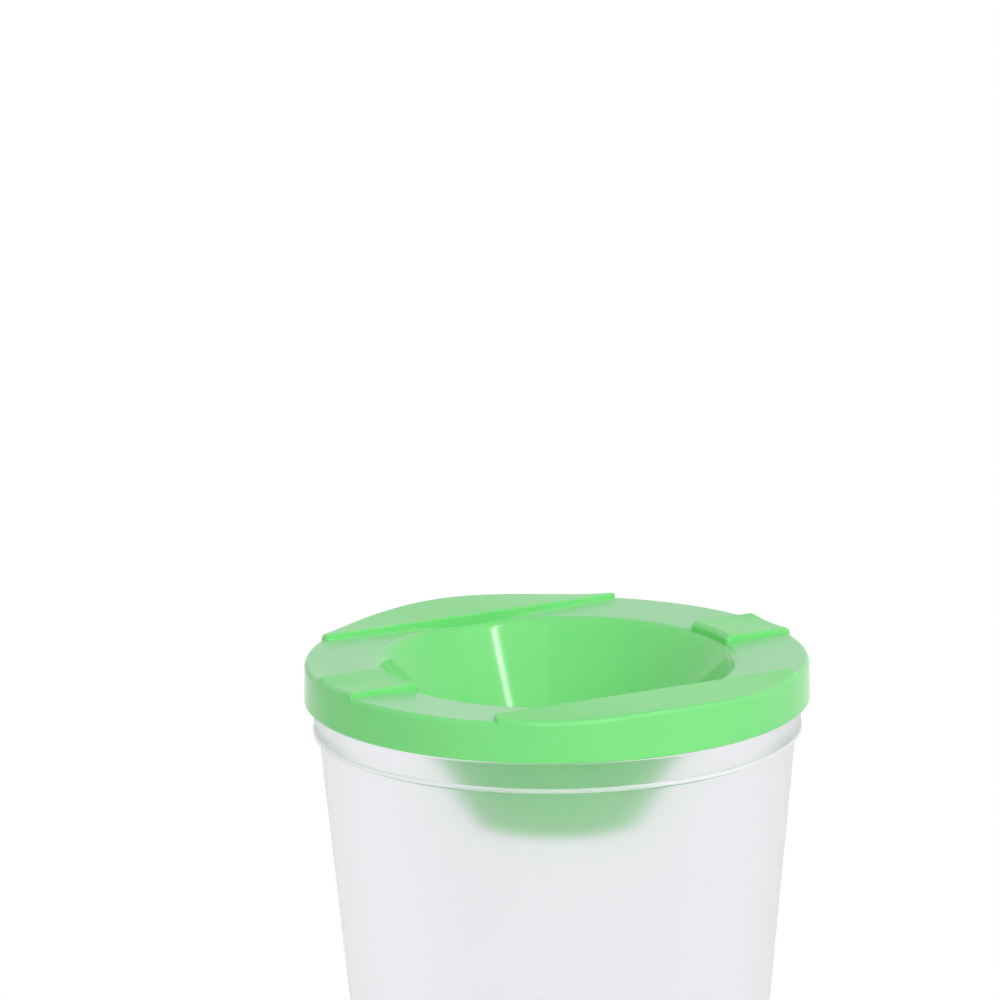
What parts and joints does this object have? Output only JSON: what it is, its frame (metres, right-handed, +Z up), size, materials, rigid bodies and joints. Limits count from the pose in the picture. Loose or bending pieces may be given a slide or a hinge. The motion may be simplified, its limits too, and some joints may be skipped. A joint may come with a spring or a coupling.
{
  "type": "brush washer",
  "caption": "Spill-proof brush washing cup: frosted tapered cup and press-on lid with an open funnel and channels that brushes rest in.",
  "frame": {"origin": "centre of the base, on the plane of the foot ring that the cup stands on", "axes": "+Z up along the cup's axis, +X along the two brush channels in the lid"},
  "size_m": [0.08, 0.08, 0.086],
  "materials": {
    "cup": "frosted, milky translucent polypropylene with a fine matt texture",
    "lid": "light green semi-gloss polypropylene, self-coloured"
  },
  "bodies": {
    "cup": {"cup": "cup"},
    "lid": {"lid": "lid"}
  },
  "joints": [
    {"name": "lid_lift", "type": "slide", "parent": "cup", "child": "lid", "axis": [0, 0, 1], "range_m": [0, 0.03]}
  ]
}
